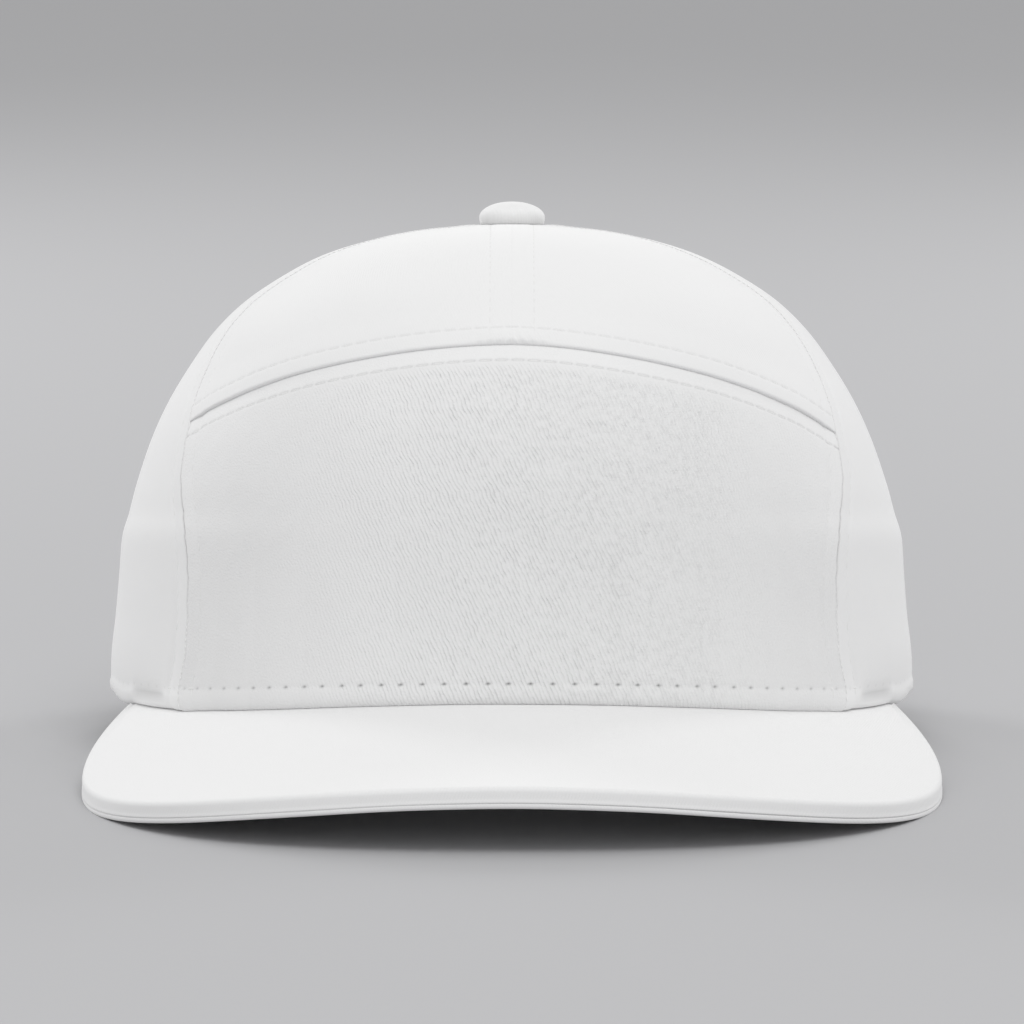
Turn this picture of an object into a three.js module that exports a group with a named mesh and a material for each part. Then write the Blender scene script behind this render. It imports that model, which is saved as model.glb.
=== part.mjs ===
import * as THREE from "three";

// A cloth cap with a high front, a rounded crown closed by a covered button, and a nearly flat peak.
// It stands as it does on a table: on the two low sides of the peak and on the hem at the back.
// Lengths are in millimetres and turns in degrees. The peak points to -Y and +Z is up.

// The crown, measured from the middle of its rim. A turn of 0 is the front and 90 the +X side.
const CROWN_BREADTH = 172;
const CROWN_FRONT = 100;
const CROWN_BACK = 100;
const CROWN_RISE = 100.4;
const PANEL_WALL = 1.8;
const SEWN_GAP = 0.3;

// The seams: an arch over the front panel, one seam on each side, one farther back on each side.
const ARCH_TOP = 73.4;
const ARCH_END = 56.5;
const ARCH_LEAN = 1.2;
const ARCH_ROUNDNESS = 1.7;
const BACK_SEAM_TURN = 120;

// The upper panels end over the front panel in a rolled lip.
const LIP_RAISE = 1.1;
const LIP_WIDTH = 12;
const LIP_EDGE_SHARE = 0.45;
const LIP_CREST_SHARE = 0.2;

// The opening at the back, the strap across it and the band inside the rim.
const OPENING_TURN = 31;
const OPENING_RISE = 54;
const OPENING_SQUARENESS = 2.3;
const STRAP_HEIGHT = 20;
const STRAP_THICKNESS = 1.6;
const STRAP_ABOVE_HEM = 4;
const STRAP_TUCK_TURN = 8;
const BAND_HEIGHT = 33;
const BAND_THICKNESS = 1.2;
const BAND_ABOVE_HEM = 3;
const BAND_STOP_TURN = 3;

// The covered button on the crown.
const BUTTON_RADIUS = 7;
const BUTTON_HEIGHT = 4.9;
const BUTTON_STEM_RADIUS = 2.2;
const BUTTON_STEM_LENGTH = 4;

// The peak: how far it reaches, how it dips to the front and how its sides bow down.
const PEAK_BREADTH = 177;
const PEAK_LENGTH = 70;
const PEAK_WIDEST = 84;
const PEAK_DIP = 12.3;
const PEAK_SQUARENESS = 2.24;
const PEAK_BOW_AT_CROWN = 18.4;
const PEAK_BOW_AT_FRONT = 15.4;
const PEAK_TIP_TURN = 68.5;
const PEAK_TIP_MARGIN = 2.8;
const PEAK_SEAT = 0.8;
const PEAK_UPPER_WALL = 2.3;
const PEAK_UNDER_WALL = 1.2;
const PEAK_EDGE_ROUND = 1.1;

// How the cloth is pressed flat where the cap rests, at the hem beside the opening and under the peak.
const HEM_PRESS = 0.9;
const PEAK_PRESS = 0.4;

// The crown from rim to button, as shares of its rise, half breadth, front length and back length.
const CROWN_SECTIONS = [
  { rise: 0, side: 1, front: 1, back: 1 },
  { rise: 0.085, side: 0.999, front: 0.999, back: 1 },
  { rise: 0.17, side: 0.988, front: 0.995, back: 0.997 },
  { rise: 0.26, side: 0.979, front: 0.986, back: 0.989 },
  { rise: 0.335, side: 0.972, front: 0.976, back: 0.979 },
  { rise: 0.385, side: 0.955, front: 0.968, back: 0.967 },
  { rise: 0.45, side: 0.935, front: 0.955, back: 0.951 },
  { rise: 0.54, side: 0.9, front: 0.928, back: 0.918 },
  { rise: 0.622, side: 0.857, front: 0.893, back: 0.873 },
  { rise: 0.702, side: 0.801, front: 0.847, back: 0.812 },
  { rise: 0.777, side: 0.737, front: 0.788, back: 0.738 },
  { rise: 0.842, side: 0.659, front: 0.716, back: 0.654 },
  { rise: 0.896, side: 0.563, front: 0.624, back: 0.556 },
  { rise: 0.938, side: 0.465, front: 0.52, back: 0.455 },
  { rise: 0.968, side: 0.36, front: 0.404, back: 0.35 },
  { rise: 0.986, side: 0.256, front: 0.286, back: 0.246 },
  { rise: 0.9955, side: 0.15, front: 0.165, back: 0.143 },
  { rise: 1, side: 0.034, front: 0.034, back: 0.034 },
];

// The turn of the seam between the front and the sides, up the crown.
const SIDE_SEAM = [
  { rise: 0, turn: 54.6 },
  { rise: 0.08, turn: 52.7 },
  { rise: 0.22, turn: 52.9 },
  { rise: 0.3, turn: 54.2 },
  { rise: 0.38, turn: 57.2 },
  { rise: 0.47, turn: 61 },
  { rise: 0.563, turn: 63.6 },
  { rise: 0.65, turn: 66.9 },
  { rise: 0.74, turn: 70 },
  { rise: 0.82, turn: 71 },
  { rise: 0.9, turn: 70 },
  { rise: 1, turn: 66 },
];

// The panels share their rows above this level, where they narrow towards the button.
const SHOULDER_LEVEL = 0.76;
// Where the hem's height fades out, as a share of the way from the rim to the button.
const HEM_FADE = 0.16;
// Behind the peak's tips the hem returns to the rim's own height over this turn.
const HEM_RETURN_TURN = 12;

const { clamp, lerp, smoothstep, degToRad, radToDeg } = THREE.MathUtils;
const halfBreadth = CROWN_BREADTH / 2;
const peakHalf = PEAK_BREADTH / 2;

function sectionCurve(lengthColumn) {
  const points = CROWN_SECTIONS.map((row) => new THREE.Vector3(row.side, row[lengthColumn], row.rise));
  return new THREE.CatmullRomCurve3(points, false, "catmullrom", 0.5);
}

const frontSections = sectionCurve("front");
const backSections = sectionCurve("back");

// The level, from 0 at the rim to 1 at the button, at which the crown has risen by this share.
function levelOfRise(share) {
  let low = 0;
  let high = 1;
  for (let step = 0; step < 40; step += 1) {
    const middle = (low + high) / 2;
    if (frontSections.getPoint(middle).z < share) low = middle;
    else high = middle;
  }
  return (low + high) / 2;
}

// The level at a height in millimetres above the rim.
const levelAt = (height) => levelOfRise(height / CROWN_RISE);

const seamTurns = new THREE.CubicInterpolant(
  SIDE_SEAM.map((row) => levelOfRise(row.rise)),
  SIDE_SEAM.map((row) => row.turn),
  1,
);

// The turn of the side seam at a level.
const seamTurn = (level) => seamTurns.evaluate(clamp(level, 0, 1))[0];

// The smooth crown before its hem is shaped.
function crownPoint(turn, level) {
  const angle = degToRad(turn);
  const forward = Math.cos(angle);
  const share = (forward > 0 ? frontSections : backSections).getPoint(clamp(level, 0, 1));
  const length = forward > 0 ? CROWN_FRONT : CROWN_BACK;
  return new THREE.Vector3(
    halfBreadth * share.x * Math.sin(angle),
    -length * share.y * forward,
    CROWN_RISE * share.z,
  );
}

function crownNormal(turn, level) {
  const turnStep = 0.5;
  const levelStep = 0.002;
  const below = clamp(level - levelStep, 0, 1);
  const above = clamp(level + levelStep, 0, 1);
  const along = crownPoint(turn + turnStep, level).sub(crownPoint(turn - turnStep, level));
  const up = crownPoint(turn, above).sub(crownPoint(turn, below));
  return along.cross(up).normalize();
}

// The peak's upper face over a point of the plan.
function peakTop(x, y) {
  const behindTip = -CROWN_FRONT * Math.cos(degToRad(PEAK_TIP_TURN));
  const front = -CROWN_FRONT - PEAK_LENGTH;
  const forward = clamp((y - behindTip) / (front - behindTip), 0, 1);
  const bow = lerp(PEAK_BOW_AT_CROWN, PEAK_BOW_AT_FRONT, forward);
  const dip = (-y - CROWN_FRONT) * Math.tan(degToRad(PEAK_DIP));
  return -PEAK_SEAT - dip - bow * (x / peakHalf) ** 2;
}

// The peak's outline from its middle, 0, to its tip, 1, on the +X side.
function peakOutline(share) {
  const roundShare = 0.74;
  const tipAngle = degToRad(PEAK_TIP_TURN);
  const tipX = halfBreadth * Math.sin(tipAngle) + PEAK_TIP_MARGIN;
  const tipY = CROWN_FRONT * Math.cos(tipAngle);
  if (share < roundShare) {
    const angle = (Math.PI / 2) * (share / roundShare);
    const power = 2 / PEAK_SQUARENESS;
    const reach = CROWN_FRONT + PEAK_LENGTH - PEAK_WIDEST;
    return new THREE.Vector2(
      peakHalf * Math.sin(angle) ** power,
      -PEAK_WIDEST - reach * Math.cos(angle) ** power,
    );
  }
  const back = (share - roundShare) / (1 - roundShare);
  return new THREE.Vector2(peakHalf - (peakHalf - tipX) * back ** 2, -lerp(PEAK_WIDEST, tipY, back));
}

// How far the peak's under face reaches below a plane that rises to the back at this tilt.
const peakThickness = PEAK_UPPER_WALL + SEWN_GAP + PEAK_UNDER_WALL;
const hemCornerY = CROWN_BACK * Math.cos(degToRad(OPENING_TURN));
const restPlane = (y, tilt) => (y - hemCornerY) * Math.tan(tilt) + HEM_PRESS;

function peakBelowRest(tilt) {
  let deepest = -Infinity;
  for (let step = 0; step <= 60; step += 1) {
    const at = peakOutline(step / 60);
    const under = peakTop(at.x, at.y) - peakThickness;
    deepest = Math.max(deepest, restPlane(at.y, tilt) - under);
  }
  return deepest;
}

// The tilt at which hem and peak are both pressed down as far as named.
function restingTilt() {
  let low = 0;
  let high = degToRad(25);
  for (let step = 0; step < 50; step += 1) {
    const middle = (low + high) / 2;
    if (peakBelowRest(middle) > PEAK_PRESS) low = middle;
    else high = middle;
  }
  return (low + high) / 2;
}

const tilt = restingTilt();

// From this turn to the opening the hem is pressed flat through its whole wall.
const pressedY = hemCornerY - HEM_PRESS / Math.tan(tilt) + PANEL_WALL;
const pressedTurn = 180 - radToDeg(Math.acos(clamp(pressedY / CROWN_BACK, -1, 1)));

// The height of the hem: on the peak in front, level at the sides, pressed flat at the back.
function hemHeight(turn, x, y) {
  const away = Math.abs(turn);
  const onPeak = 1 - smoothstep(away, PEAK_TIP_TURN, PEAK_TIP_TURN + HEM_RETURN_TURN);
  const behindTip = -CROWN_FRONT * Math.cos(degToRad(PEAK_TIP_TURN));
  if (onPeak > 0) return onPeak * (peakTop(x, Math.min(y, behindTip)) + SEWN_GAP);
  return Math.max(0, restPlane(y, tilt));
}

// A point of the crown's cloth, set in by a depth, or out where the depth is negative.
function clothPoint(turn, level, depth) {
  const point = crownPoint(turn, level).addScaledVector(crownNormal(turn, level), -depth);
  const fade = clamp(1 - level / HEM_FADE, 0, 1) ** 2;
  point.z += fade * hemHeight(turn, point.x, point.y);
  return point;
}

// The turn that half a sewn gap takes up at a point of the crown.
function gapTurn(turn, level) {
  const point = crownPoint(turn, level);
  return radToDeg(SEWN_GAP / 2 / Math.hypot(point.x, point.y));
}

// The level that half a sewn gap takes up at a point of the crown.
function gapLevel(turn, level) {
  const step = 0.01;
  return (step * SEWN_GAP) / 2 / crownPoint(turn, level).distanceTo(crownPoint(turn, level - step));
}

// A closed wall over a grid: pointAt(u, v, skin) gives the outer skin, 0, and the inner skin, 1.
function closedWall(columns, rows, pointAt, mirrored = false) {
  const positions = [];
  const triangles = [];
  const last = { i: columns.length - 1, j: rows.length - 1 };
  for (const skin of [0, 1]) {
    for (const v of rows) {
      for (const u of columns) positions.push(...pointAt(u, v, skin).toArray());
    }
  }
  const vertex = (i, j, skin) => (skin * rows.length + j) * columns.length + i;
  const quad = (a, b, c, d) => {
    const corners = mirrored ? [a, d, c, b] : [a, b, c, d];
    triangles.push(corners[0], corners[1], corners[2], corners[0], corners[2], corners[3]);
  };
  for (let j = 0; j < last.j; j += 1) {
    for (let i = 0; i < last.i; i += 1) {
      quad(vertex(i, j, 0), vertex(i + 1, j, 0), vertex(i + 1, j + 1, 0), vertex(i, j + 1, 0));
      quad(vertex(i, j, 1), vertex(i, j + 1, 1), vertex(i + 1, j + 1, 1), vertex(i + 1, j, 1));
    }
  }
  for (let i = 0; i < last.i; i += 1) {
    quad(vertex(i, 0, 0), vertex(i, 0, 1), vertex(i + 1, 0, 1), vertex(i + 1, 0, 0));
    quad(vertex(i, last.j, 0), vertex(i + 1, last.j, 0), vertex(i + 1, last.j, 1), vertex(i, last.j, 1));
  }
  for (let j = 0; j < last.j; j += 1) {
    quad(vertex(0, j, 0), vertex(0, j + 1, 0), vertex(0, j + 1, 1), vertex(0, j, 1));
    quad(vertex(last.i, j, 0), vertex(last.i, j, 1), vertex(last.i, j + 1, 1), vertex(last.i, j + 1, 0));
  }
  const geometry = new THREE.BufferGeometry();
  geometry.setAttribute("position", new THREE.Float32BufferAttribute(positions, 3));
  geometry.setIndex(triangles);
  geometry.computeVertexNormals();
  return geometry;
}

// Evenly spaced stops from 0 to 1.
const even = (count) => Array.from({ length: count + 1 }, (_, i) => i / count);

// Rows from a panel's foot up to the crown's shoulder, at 1, and from there to the button, at 2.
const rowsToButton = (body) => [...body, ...[0.25, 0.45, 0.65, 0.82, 1].map((stop) => 1 + stop)];

function levelFrom(foot, v) {
  return v <= 1 ? lerp(foot, SHOULDER_LEVEL, v) : lerp(SHOULDER_LEVEL, 1, v - 1);
}

// The arch seam's level at a share of the way from the middle, 0, to the side seams, -1 and 1.
function archLevel(share) {
  const drop = (ARCH_TOP - ARCH_END) * Math.abs(share) ** ARCH_ROUNDNESS;
  return levelAt(ARCH_TOP - drop - ARCH_LEAN * share);
}

function frontPanel() {
  return closedWall(even(20), even(12), (u, v, skin) => {
    const share = 2 * u - 1;
    const arch = archLevel(share);
    const level = v * (arch - gapLevel(share * seamTurn(arch), arch));
    const edge = seamTurn(level) - gapTurn(seamTurn(level), level);
    return clothPoint(share * edge, level, skin * PANEL_WALL);
  });
}

// The rolled lip's height at a distance from the arch seam.
function lipRaise(distance) {
  const share = clamp(distance / LIP_WIDTH, 0, 1);
  if (share < LIP_CREST_SHARE) {
    return LIP_RAISE * lerp(LIP_EDGE_SHARE, 1, Math.sin((Math.PI / 2) * (share / LIP_CREST_SHARE)));
  }
  const fall = (share - LIP_CREST_SHARE) / (1 - LIP_CREST_SHARE);
  return (LIP_RAISE * (1 + Math.cos(Math.PI * fall))) / 2;
}

function upperPanel(side) {
  const nearSeam = [0, 0.03, 0.07, 0.14, 0.24, 0.36];
  return closedWall(
    even(10),
    rowsToButton([...nearSeam, ...even(8).slice(4)]),
    (u, v, skin) => {
      const arch = archLevel(side * u);
      const foot = arch + gapLevel(u * seamTurn(arch), arch);
      const level = levelFrom(foot, v);
      const seam = seamTurn(level);
      const turn = side * lerp(gapTurn(0, level), seam - gapTurn(seam, level), u);
      const fromSeam = crownPoint(turn, level).distanceTo(crownPoint(turn, foot));
      return clothPoint(turn, level, skin ? PANEL_WALL : -lipRaise(fromSeam));
    },
    side < 0,
  );
}

function sidePanel(side) {
  return closedWall(
    even(10),
    rowsToButton(even(15)),
    (u, v, skin) => {
      const level = levelFrom(0, v);
      const front = seamTurn(level) + gapTurn(seamTurn(level), level);
      const back = BACK_SEAM_TURN - gapTurn(BACK_SEAM_TURN, level);
      return clothPoint(side * lerp(front, back, u), level, skin * PANEL_WALL);
    },
    side < 0,
  );
}

// A back panel runs from the side, 0, to the middle of the back, 1, and is cut away for the opening.
function backPanel(side) {
  const pressShare = 0.24;
  const hemShare = 0.34;
  const foot = (u) => {
    if (u < pressShare) return { turn: lerp(BACK_SEAM_TURN, pressedTurn, u / pressShare), height: 0 };
    if (u < hemShare) {
      const along = (u - pressShare) / (hemShare - pressShare);
      return { turn: lerp(pressedTurn, 180 - OPENING_TURN, along), height: 0 };
    }
    const angle = (Math.PI / 2) * ((u - hemShare) / (1 - hemShare));
    const power = 2 / OPENING_SQUARENESS;
    return {
      turn: 180 - OPENING_TURN * Math.cos(angle) ** power,
      height: OPENING_RISE * Math.sin(angle) ** power,
    };
  };
  const hemStops = [...even(3).map((stop) => stop * pressShare), hemShare];
  const archStops = even(9).map((stop) => lerp(hemShare, 1, stop));
  return closedWall(
    [...hemStops, ...archStops.slice(1)],
    rowsToButton(even(10)),
    (u, v, skin) => {
      const start = foot(u);
      const level = levelFrom(levelAt(start.height), v);
      const turn = lerp(start.turn, lerp(BACK_SEAM_TURN, 180, u), Math.min(v, 1));
      const gap = gapTurn(turn, level);
      return clothPoint(side * clamp(turn, BACK_SEAM_TURN + gap, 180 - gap), level, skin * PANEL_WALL);
    },
    side < 0,
  );
}

// A plain band inside the crown's wall, between two turns and two heights above the hem.
function innerBand(columns, rows, turns, heights, thickness) {
  return closedWall(even(columns), even(rows), (u, v, skin) => {
    const level = levelAt(lerp(heights.low, heights.high, v));
    const depth = PANEL_WALL + SEWN_GAP + skin * thickness;
    return clothPoint(lerp(turns.start, turns.end, u), level, depth);
  });
}

function strap() {
  const reach = OPENING_TURN + STRAP_TUCK_TURN;
  const heights = { low: STRAP_ABOVE_HEM, high: STRAP_ABOVE_HEM + STRAP_HEIGHT };
  return innerBand(20, 2, { start: 180 - reach, end: 180 + reach }, heights, STRAP_THICKNESS);
}

function sweatband() {
  const reach = 180 - OPENING_TURN - STRAP_TUCK_TURN - BAND_STOP_TURN;
  const heights = { low: BAND_ABOVE_HEM, high: BAND_ABOVE_HEM + BAND_HEIGHT };
  return innerBand(44, 4, { start: -reach, end: reach }, heights, BAND_THICKNESS);
}

// A point on one face of the peak, set in from its outline, at a depth below its upper face.
function peakPoint(share, across, inset, depth) {
  const angle = degToRad(Math.abs(share) * PEAK_TIP_TURN);
  const inner = new THREE.Vector2(
    (halfBreadth - PANEL_WALL) * Math.sin(angle),
    -(CROWN_FRONT - PANEL_WALL) * Math.cos(angle),
  );
  const outer = peakOutline(Math.abs(share));
  outer.addScaledVector(inner.clone().sub(outer).normalize(), inset);
  const at = inner.lerp(outer, across);
  at.x *= Math.sign(share);
  const height = peakTop(at.x, at.y) - depth;
  return new THREE.Vector3(at.x, at.y, Math.max(height, restPlane(at.y, tilt)));
}

// One cover of the peak: the rim row is its rounded edge, the others lie flat across it.
function peakCover(faces) {
  const rim = 2;
  return closedWall(even(40), [0, 0.25, 0.5, 0.75, 1, rim], (u, v, skin) => {
    const face = faces[skin];
    const onRim = v === rim;
    const inset = onRim ? face.rimInset : PEAK_EDGE_ROUND;
    const depth = onRim ? face.rimDepth : face.depth;
    return peakPoint(1 - 2 * u, Math.min(v, 1), inset, depth);
  });
}

function peakUpperCover() {
  return peakCover([
    { depth: 0, rimInset: 0, rimDepth: PEAK_EDGE_ROUND },
    { depth: PEAK_UPPER_WALL, rimInset: 0, rimDepth: PEAK_UPPER_WALL },
  ]);
}

function peakUnderCover() {
  const top = PEAK_UPPER_WALL + SEWN_GAP;
  const halfWall = PEAK_UNDER_WALL / 2;
  return peakCover([
    { depth: top, rimInset: 0, rimDepth: top },
    { depth: top + PEAK_UNDER_WALL, rimInset: halfWall, rimDepth: top + halfWall },
  ]);
}

// A domed button on a stem that goes down through the hole where the panels meet.
function buttonGeometry() {
  const foot = CROWN_RISE + SEWN_GAP;
  const profile = [
    { radius: 0, rise: -BUTTON_STEM_LENGTH },
    { radius: BUTTON_STEM_RADIUS, rise: -BUTTON_STEM_LENGTH },
    { radius: BUTTON_STEM_RADIUS, rise: 0 },
    { radius: 0.93 * BUTTON_RADIUS, rise: 0 },
    { radius: BUTTON_RADIUS, rise: 0.25 * BUTTON_HEIGHT },
    { radius: 0.97 * BUTTON_RADIUS, rise: 0.5 * BUTTON_HEIGHT },
    { radius: 0.84 * BUTTON_RADIUS, rise: 0.72 * BUTTON_HEIGHT },
    { radius: 0.6 * BUTTON_RADIUS, rise: 0.89 * BUTTON_HEIGHT },
    { radius: 0.3 * BUTTON_RADIUS, rise: 0.98 * BUTTON_HEIGHT },
    { radius: 0, rise: BUTTON_HEIGHT },
  ];
  const points = profile.map((row) => new THREE.Vector2(row.radius, foot + row.rise));
  return new THREE.LatheGeometry(points, 24).rotateX(Math.PI / 2);
}

const twill = new THREE.MeshStandardMaterial({ color: 0xe9e9e8, roughness: 0.9, metalness: 0 });
const smoothCloth = new THREE.MeshStandardMaterial({ color: 0xefefee, roughness: 0.85, metalness: 0 });
const bandCloth = new THREE.MeshStandardMaterial({ color: 0xe4e4e2, roughness: 0.95, metalness: 0 });

const cap = new THREE.Group();

function add(name, geometry, material) {
  const mesh = new THREE.Mesh(geometry, material);
  mesh.name = name;
  cap.add(mesh);
}

add("front_panel", frontPanel(), twill);
add("upper_front_left", upperPanel(-1), smoothCloth);
add("upper_front_right", upperPanel(1), smoothCloth);
add("side_panel_left", sidePanel(-1), smoothCloth);
add("side_panel_right", sidePanel(1), smoothCloth);
add("back_panel_left", backPanel(-1), smoothCloth);
add("back_panel_right", backPanel(1), smoothCloth);
add("button", buttonGeometry(), smoothCloth);
add("peak_upper_cover", peakUpperCover(), smoothCloth);
add("peak_under_cover", peakUnderCover(), smoothCloth);
add("back_strap", strap(), bandCloth);
add("sweatband", sweatband(), bandCloth);

// The cap leans back until hem and peak both touch the table, and its base is centred on the origin.
cap.rotation.x = -tilt;
cap.updateMatrixWorld(true);
const base = new THREE.Box3().setFromObject(cap, true);
cap.position.set(-(base.min.x + base.max.x) / 2, -(base.min.y + base.max.y) / 2, -base.min.z);

const model = new THREE.Group();
model.add(cap);

export default model;
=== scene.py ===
# %% [markdown]
# A white cloth cap
#
# A structured cap is a shell of stiffened cloth panels. Its shape comes from the cut of the panels, so here
# one surface describes the whole crown, and each panel is a patch of that surface with its own seams, lip,
# hem and stitches. The peak is a bent board in two cloth covers. The solid model gives every piece its
# place, and this script gives every piece its cloth.

# %% Load the solid model and keep its box
import math
from functools import partial

import bmesh
import bpy
import numpy as np
from mathutils import Matrix, Vector


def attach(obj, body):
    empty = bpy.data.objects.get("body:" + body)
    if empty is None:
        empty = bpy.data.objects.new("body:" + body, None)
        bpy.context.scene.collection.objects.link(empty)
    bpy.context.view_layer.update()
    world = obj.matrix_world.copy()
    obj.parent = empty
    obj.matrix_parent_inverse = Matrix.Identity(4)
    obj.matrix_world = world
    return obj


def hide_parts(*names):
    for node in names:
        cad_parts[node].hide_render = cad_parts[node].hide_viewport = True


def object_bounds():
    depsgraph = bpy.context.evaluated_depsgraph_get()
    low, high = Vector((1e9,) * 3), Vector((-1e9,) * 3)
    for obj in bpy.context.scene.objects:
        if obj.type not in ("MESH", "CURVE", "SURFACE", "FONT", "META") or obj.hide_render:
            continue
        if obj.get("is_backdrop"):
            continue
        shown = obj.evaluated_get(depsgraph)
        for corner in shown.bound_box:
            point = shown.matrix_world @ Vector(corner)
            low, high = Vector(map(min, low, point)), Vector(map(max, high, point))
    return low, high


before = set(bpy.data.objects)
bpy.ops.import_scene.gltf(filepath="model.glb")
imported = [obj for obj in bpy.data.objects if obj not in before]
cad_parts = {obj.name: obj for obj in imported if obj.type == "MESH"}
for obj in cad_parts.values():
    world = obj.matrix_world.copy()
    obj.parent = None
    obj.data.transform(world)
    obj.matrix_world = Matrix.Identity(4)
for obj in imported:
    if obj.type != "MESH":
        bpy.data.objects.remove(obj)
cad_box = [list(corner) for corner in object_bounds()]
MM = 0.001
print("solid model box", [[round(value, 4) for value in corner] for corner in cad_box])

# %% [markdown]
# The cap leans back a little on the table, because the low sides of the peak hold its front up. All its
# shapes are easier to write in a frame that leans with it: the rim lies in its plane z = 0 and the button
# on its z axis. The button of the solid model is turned about that axis, so the middle of its stem's foot
# and the middle of all its points give the lean and the place.

# %% The cap's own frame, from the button of the solid model
CROWN_RISE = 100.4
SEWN_GAP = 0.3
BUTTON_STEM_LENGTH = 4.0


def new_object(name, data):
    made = bpy.data.objects.new(name, data)
    bpy.context.collection.objects.link(made)
    return made


def node_points(name):
    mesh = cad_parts[name].data
    points = np.empty(len(mesh.vertices) * 3)
    mesh.vertices.foreach_get("co", points)
    return points.reshape(-1, 3)


button_points = node_points("button")
stem_foot = button_points[button_points[:, 2] < button_points[:, 2].min() + MM].mean(axis=0)
button_axis = button_points.mean(axis=0) - stem_foot
lean = math.atan2(button_axis[1], button_axis[2])
turn_back = Matrix.Rotation(-lean, 4, "X")
foot_in_cap = Vector((0, 0, (CROWN_RISE + SEWN_GAP - BUTTON_STEM_LENGTH) * MM))
cap_matrix = Matrix.Translation(Vector(stem_foot) - turn_back @ foot_in_cap) @ turn_back
print(f"the cap leans back by {math.degrees(lean):.2f} degrees")

# %% [markdown]
# The camera stands level with the lower crown in the cap's frame, about two metres away with a long lens,
# which is why the photograph shows so little perspective. In the room it then looks down a few degrees.

# %% Camera
IMAGE_SIZE = 1024
CAMERA_DISTANCE = 2000.0
CAMERA_HEIGHT = 38.8
MM_PER_PIXEL = 0.2153
SENSOR = 36.0

camera_data = bpy.data.cameras.new("camera")
camera_data.sensor_width = SENSOR
camera_data.lens = SENSOR * CAMERA_DISTANCE / MM_PER_PIXEL / IMAGE_SIZE
camera_data.clip_start, camera_data.clip_end = 0.05, 60
camera = new_object("camera", camera_data)
looking_back = Matrix(((1, 0, 0, 0), (0, 0, -1, 0), (0, 1, 0, 0), (0, 0, 0, 1)))
camera_place = Matrix.Translation((0, -CAMERA_DISTANCE * MM, CAMERA_HEIGHT * MM))
camera.matrix_world = cap_matrix @ camera_place @ looking_back
bpy.context.scene.camera = camera
print(f"lens {camera_data.lens:.0f} mm, {camera.location.z:.3f} m above the table")

# %% [markdown]
# The crown is an oval that shrinks from the rim to the button. A short table gives its sections as shares
# of the rise, the half breadth, the front length and the back length, and a smooth spline runs through
# them. The step near 0.36 of the rise is where the band inside the rim ends and the cloth gives way.

# %% The crown's sections
CROWN_BREADTH = 172.0
CROWN_FRONT = 100.0
CROWN_BACK = 100.0
CROWN_SECTIONS = np.array([  # rise, side, front, back
    (0, 1, 1, 1), (0.085, 0.999, 0.999, 1), (0.17, 0.988, 0.995, 0.997), (0.26, 0.979, 0.986, 0.989),
    (0.335, 0.972, 0.976, 0.979), (0.385, 0.955, 0.968, 0.967), (0.45, 0.935, 0.955, 0.951),
    (0.54, 0.9, 0.928, 0.918), (0.622, 0.857, 0.893, 0.873), (0.702, 0.801, 0.847, 0.812),
    (0.777, 0.737, 0.788, 0.738), (0.842, 0.659, 0.716, 0.654), (0.896, 0.563, 0.624, 0.556),
    (0.938, 0.465, 0.52, 0.455), (0.968, 0.36, 0.404, 0.35), (0.986, 0.256, 0.286, 0.246),
    (0.9955, 0.15, 0.165, 0.143), (1, 0.034, 0.034, 0.034),
])
SIDE_SEAM = np.array([  # rise, turn
    (0, 53.0), (0.035, 53.8), (0.08, 52.7), (0.22, 52.9), (0.3, 53.9), (0.38, 56.6), (0.47, 60.2),
    (0.563, 62.6), (0.65, 66), (0.74, 69.2), (0.82, 70.7), (0.9, 70), (1, 66),
])
SEAM_WANDER = ((0.08, 140, 1), (0.06, 251, 0))  # degrees, waves, phase


def sections_at(level):
    """The table's four columns at a level from 0, the rim, to 1, the button, on an even spline."""
    last = len(CROWN_SECTIONS) - 1
    at = np.clip(level, 0, 1) * last
    row = np.minimum(at.astype(int), last - 1)
    f = (at - row)[..., None]
    ends = 2 * CROWN_SECTIONS[[0, -1]] - CROWN_SECTIONS[[1, -2]]
    rows = np.vstack([ends[:1], CROWN_SECTIONS, ends[1:]])
    a, b, c, d = (rows[row + step] for step in range(4))
    return 0.5 * (2 * b + (c - a) * f + (2 * a - 5 * b + 4 * c - d) * f**2 + (3 * b - a - 3 * c + d) * f**3)


fine_levels = np.linspace(0, 1, 4001)
fine_sections = sections_at(fine_levels)


def level_at(height):
    """The level at a height in millimetres above the rim."""
    return np.interp(np.asarray(height) / CROWN_RISE, fine_sections[:, 0], fine_levels)


seam_levels = level_at(SIDE_SEAM[:, 0] * CROWN_RISE)
seam_slopes = np.diff(SIDE_SEAM[:, 1]) / np.diff(seam_levels)
seam_tangents = np.concatenate([[0], (seam_slopes[1:] + seam_slopes[:-1]) / 2, [0]])


def seam_turn(level):
    """The turn of the seam between the front and the side, on a cubic through its table, a little uneven."""
    level = np.clip(level, 0, 1)
    row = np.clip(np.searchsorted(seam_levels, level) - 1, 0, len(seam_slopes) - 1)
    span = seam_levels[row + 1] - seam_levels[row]
    f = (level - seam_levels[row]) / span
    start, end = SIDE_SEAM[row, 1], SIDE_SEAM[row + 1, 1]
    rise_in, rise_out = seam_tangents[row] * span, seam_tangents[row + 1] * span
    bend = (2 * f**3 - 3 * f**2 + 1) * start + (3 * f**2 - 2 * f**3) * end
    uneven = sum(reach * np.sin(level * waves + phase) for reach, waves, phase in SEAM_WANDER)
    return bend + (f**3 - 2 * f**2 + f) * rise_in + (f**3 - f**2) * rise_out + uneven


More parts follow.
